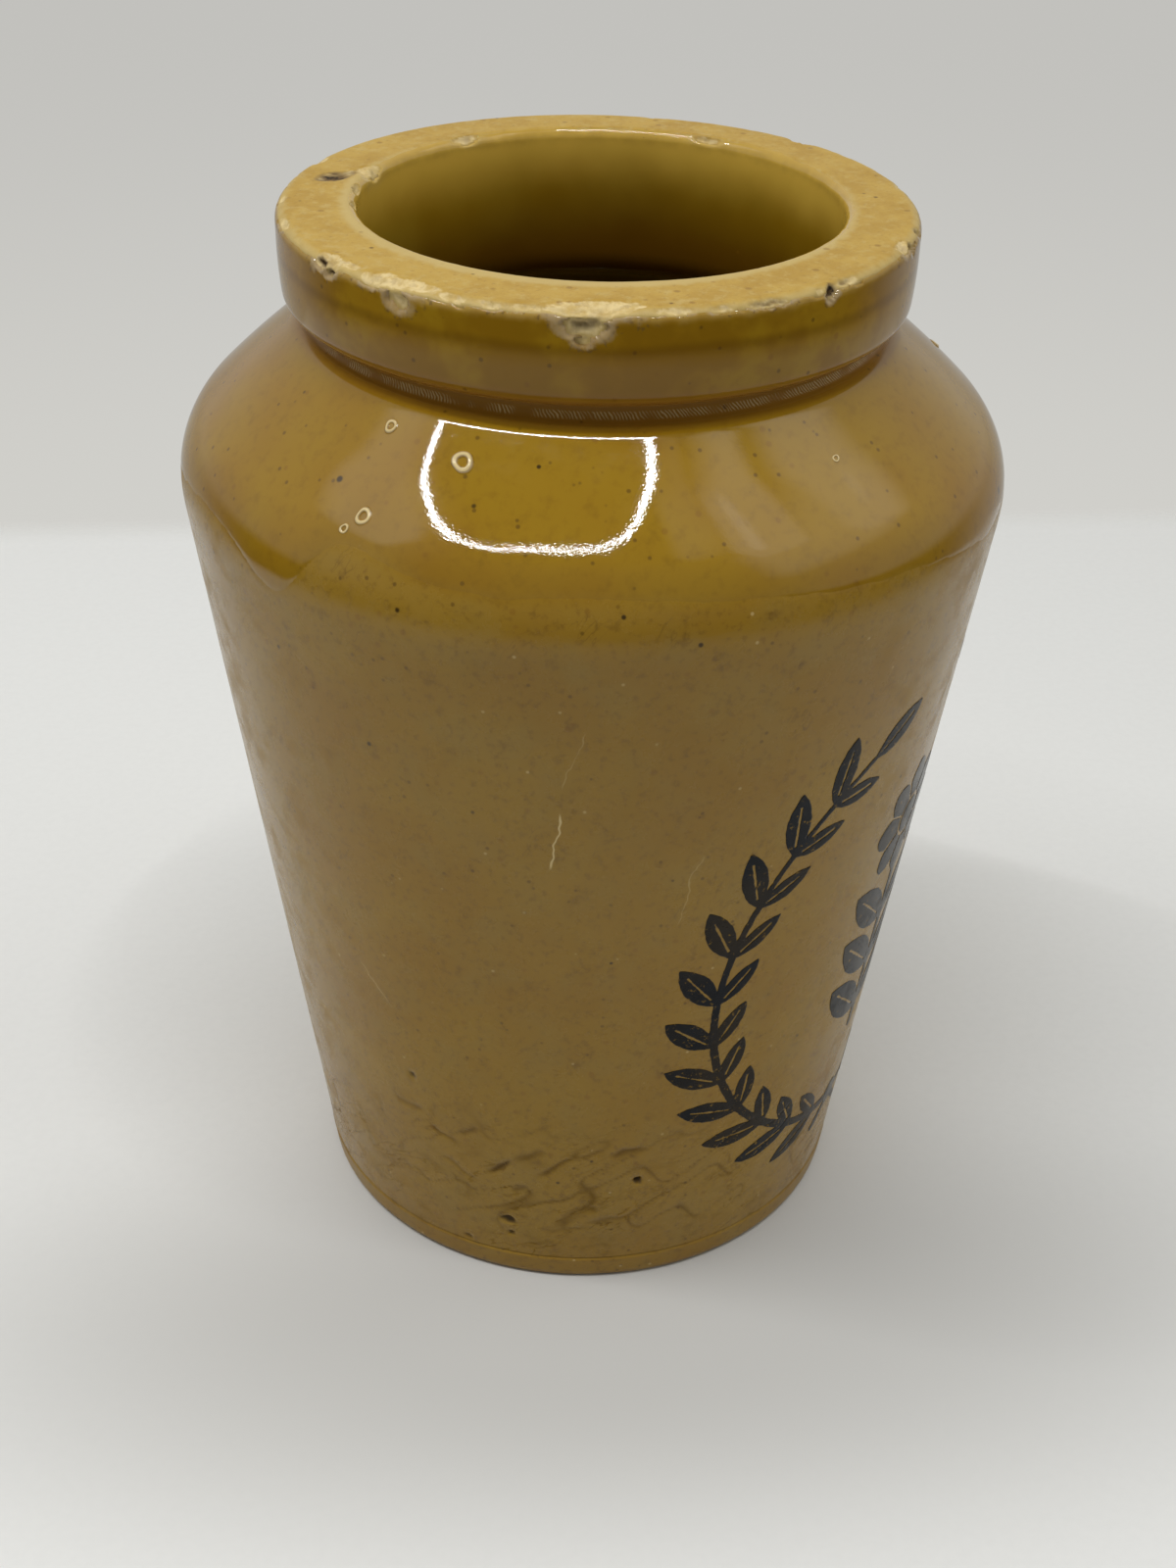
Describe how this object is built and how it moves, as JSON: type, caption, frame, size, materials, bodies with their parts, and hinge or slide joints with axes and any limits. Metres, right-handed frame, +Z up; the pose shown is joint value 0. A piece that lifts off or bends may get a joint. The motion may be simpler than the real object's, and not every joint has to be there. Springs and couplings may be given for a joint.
{
  "type": "cream pot",
  "caption": "Small glazed stoneware cream pot: tapered wall, sloping shoulder, grooved neck and flat band rim round a wide mouth, with a printed leaf wreath on the wall.",
  "frame": {"origin": "middle of the base, on the surface that the pot stands on", "axes": "+Z up along the pot's axis; the printed mark faces -Y; +X to the right of someone who faces the mark"},
  "size_m": [0.0812, 0.0812, 0.11],
  "materials": {
    "fired_clay": "bare fired stoneware, satin, buff with iron specks",
    "honey_glaze": "glossy honey-brown glaze",
    "clear_glaze": "thin clear glaze over buff clay, satin gloss, scratched by use",
    "inner_glaze": "glossy olive-honey glaze",
    "ink": "blue-black printed ink under the glaze"
  },
  "bodies": {
    "root": {"stoneware_body": "fired_clay", "honey_glaze": "honey_glaze", "clear_wall_glaze": "clear_glaze", "inner_glaze": "inner_glaze", "printed_wreath": "ink", "printed_sprig": "ink"}
  },
  "joints": []
}
